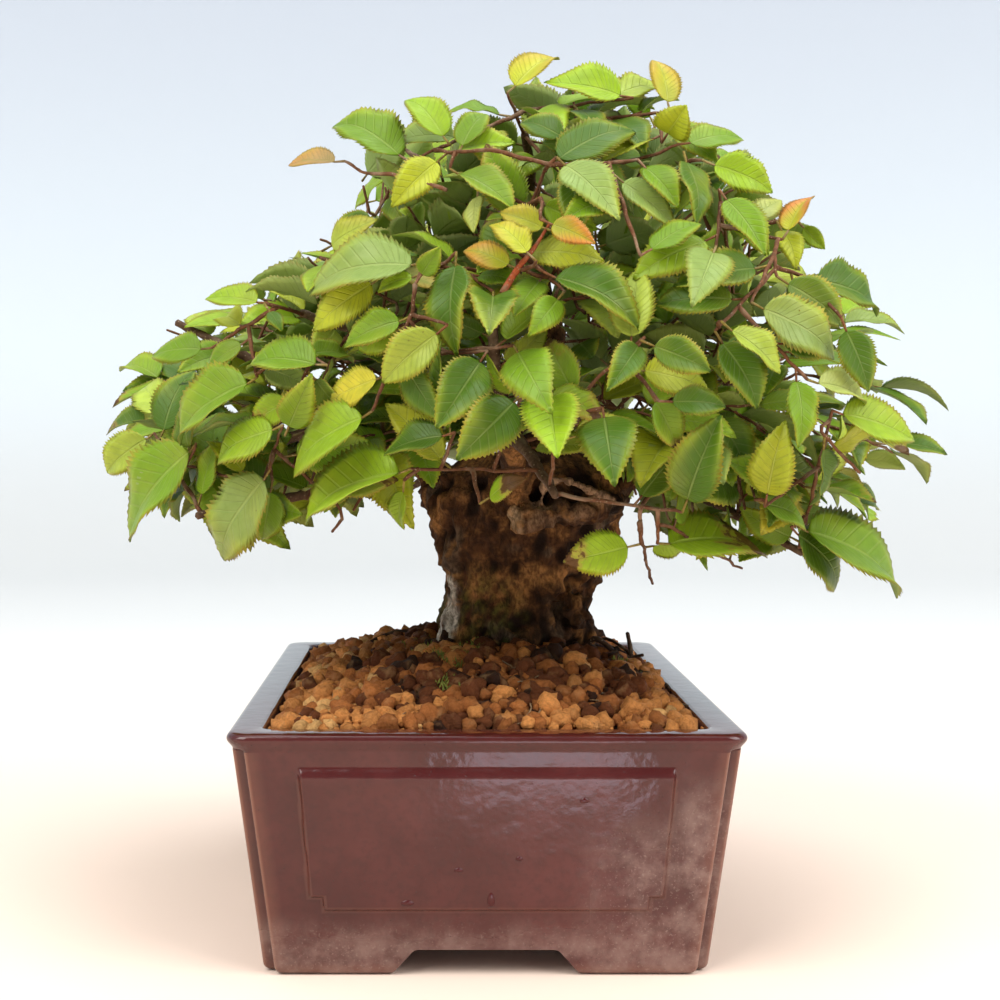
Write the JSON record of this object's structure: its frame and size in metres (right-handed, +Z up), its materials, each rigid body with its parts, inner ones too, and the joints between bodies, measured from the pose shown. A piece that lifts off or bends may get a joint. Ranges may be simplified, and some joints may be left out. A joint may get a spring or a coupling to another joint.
{
  "type": "potted korean hornbeam bonsai",
  "caption": "Small bonsai tree with a thick trunk and a dome of toothed leaves, growing in a glazed rectangular pot on feet.",
  "frame": {"origin": "on the surface it stands on, under the middle of the object's bounding box", "axes": "-Y is the front, which the pot's short side faces; +Z is up"},
  "size_m": [0.2608, 0.2404, 0.2633],
  "materials": {
    "pot_glaze": "glossy brown-red glaze",
    "drain_plastic": "matte",
    "akadama": "rough baked clay grains",
    "bark": "rough bark",
    "leaves": "green leaves on thin brown twigs"
  },
  "bodies": {
    "root": {"pot": "pot_glaze", "drain_mesh_front": "drain_plastic", "drain_mesh_back": "drain_plastic", "soil": "akadama", "trunk": "bark", "low_back_left": "leaves", "low_back_right": "leaves", "low_front": "leaves", "low_left": "leaves", "low_left_back": "leaves", "low_left_front": "leaves", "low_right": "leaves", "low_right_back": "leaves", "low_right_front": "leaves", "middle_back": "leaves", "middle_front": "leaves", "middle_left": "leaves", "middle_left_back": "leaves", "middle_left_front": "leaves", "middle_right": "leaves", "middle_right_back": "leaves", "middle_right_front": "leaves", "top_back": "leaves", "top_front": "leaves", "top_left": "leaves", "top_right": "leaves"}
  },
  "joints": []
}
